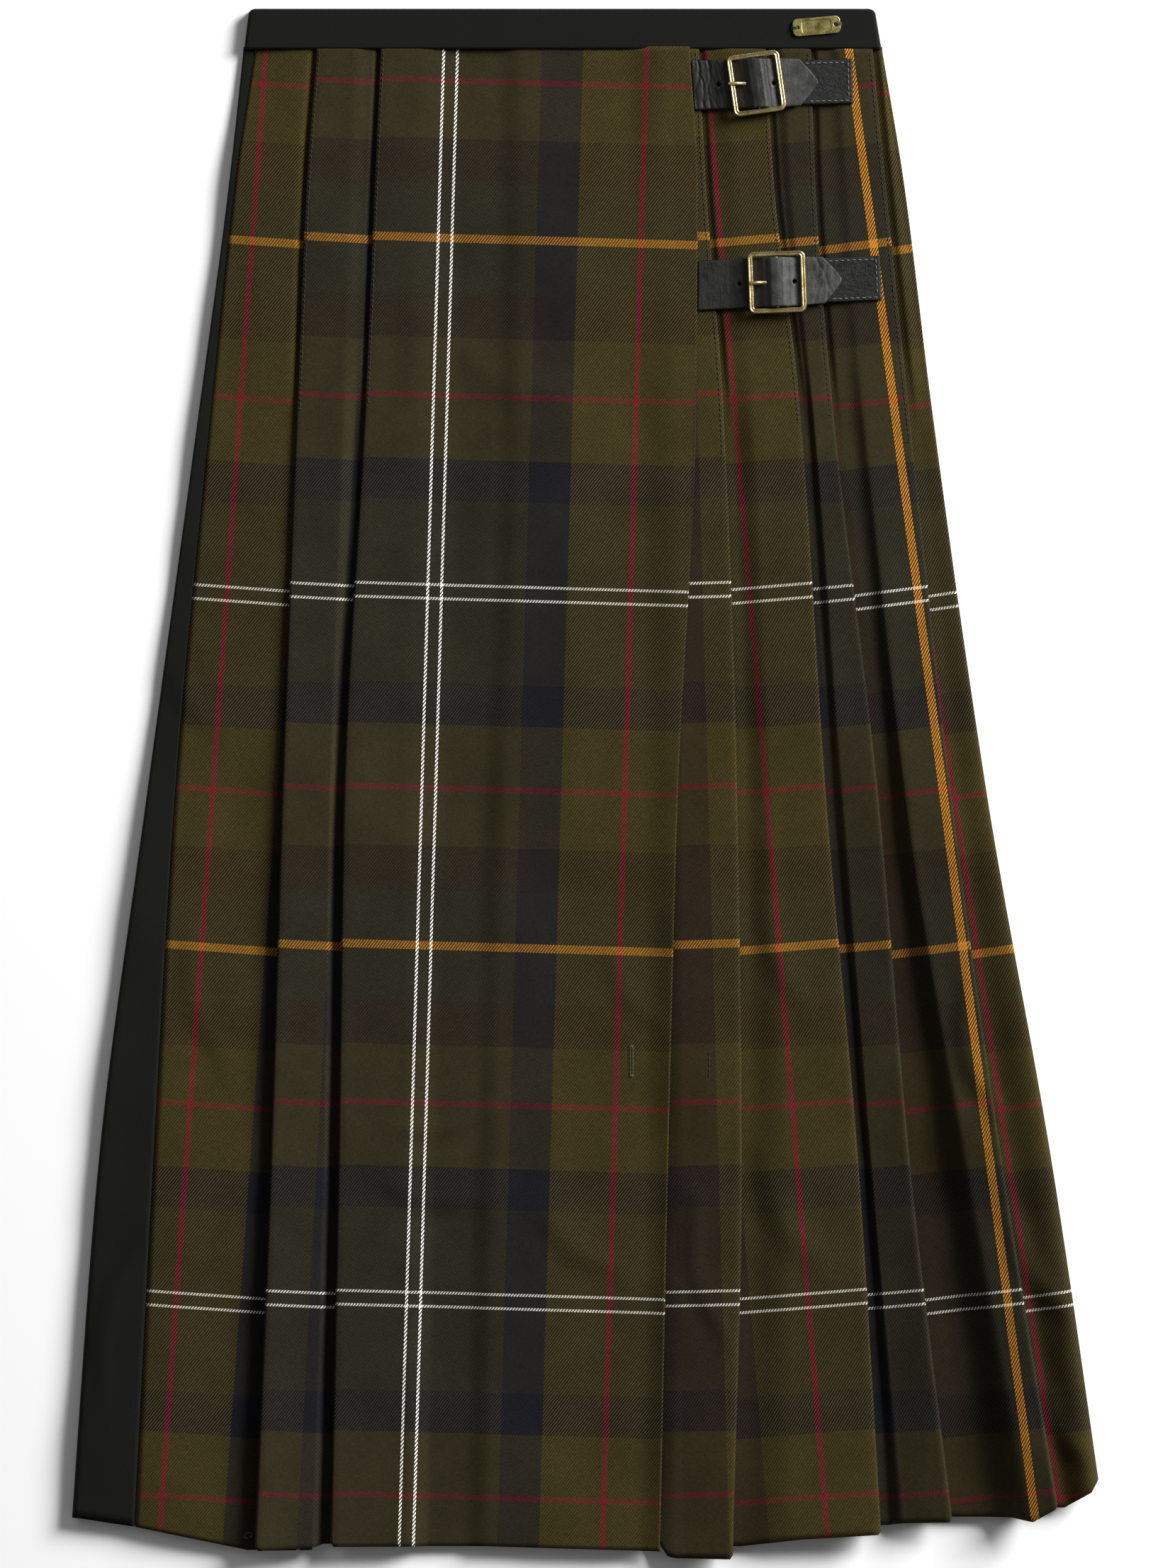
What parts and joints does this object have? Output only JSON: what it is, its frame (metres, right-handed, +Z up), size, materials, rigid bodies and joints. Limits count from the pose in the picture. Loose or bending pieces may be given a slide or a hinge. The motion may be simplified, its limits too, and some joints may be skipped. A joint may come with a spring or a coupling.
{
  "type": "pleated midi skirt laid flat",
  "caption": "Kilt-style pleated midi skirt laid flat, with a wrap-over apron front, leather buckle straps, black waistband and black back panel.",
  "frame": {"origin": "on the surface that the skirt lies on, under the middle of its bounding box", "axes": "+X to the viewer's right across the front, +Y from the hem to the waistband, +Z up out of the front face"},
  "size_m": [0.5568, 0.8412, 0.0217],
  "materials": {
    "tartan_twill": null,
    "black_twill": "matt black twill",
    "black_leather": "semi-gloss grained leather",
    "brass": "polished, slightly worn",
    "antique_brass": "dull antique brass"
  },
  "bodies": {
    "root": {"back_panel": "black_twill", "right_panel": "tartan_twill", "front_apron": "tartan_twill", "waistband_back": "black_twill", "waistband_front": "black_twill", "strap_upper": "black_leather", "tab_upper": "black_leather", "buckle_upper": "brass", "prong_upper": "brass", "strap_lower": "black_leather", "tab_lower": "black_leather", "buckle_lower": "brass", "prong_lower": "brass", "waist_plate": "antique_brass"}
  },
  "joints": []
}
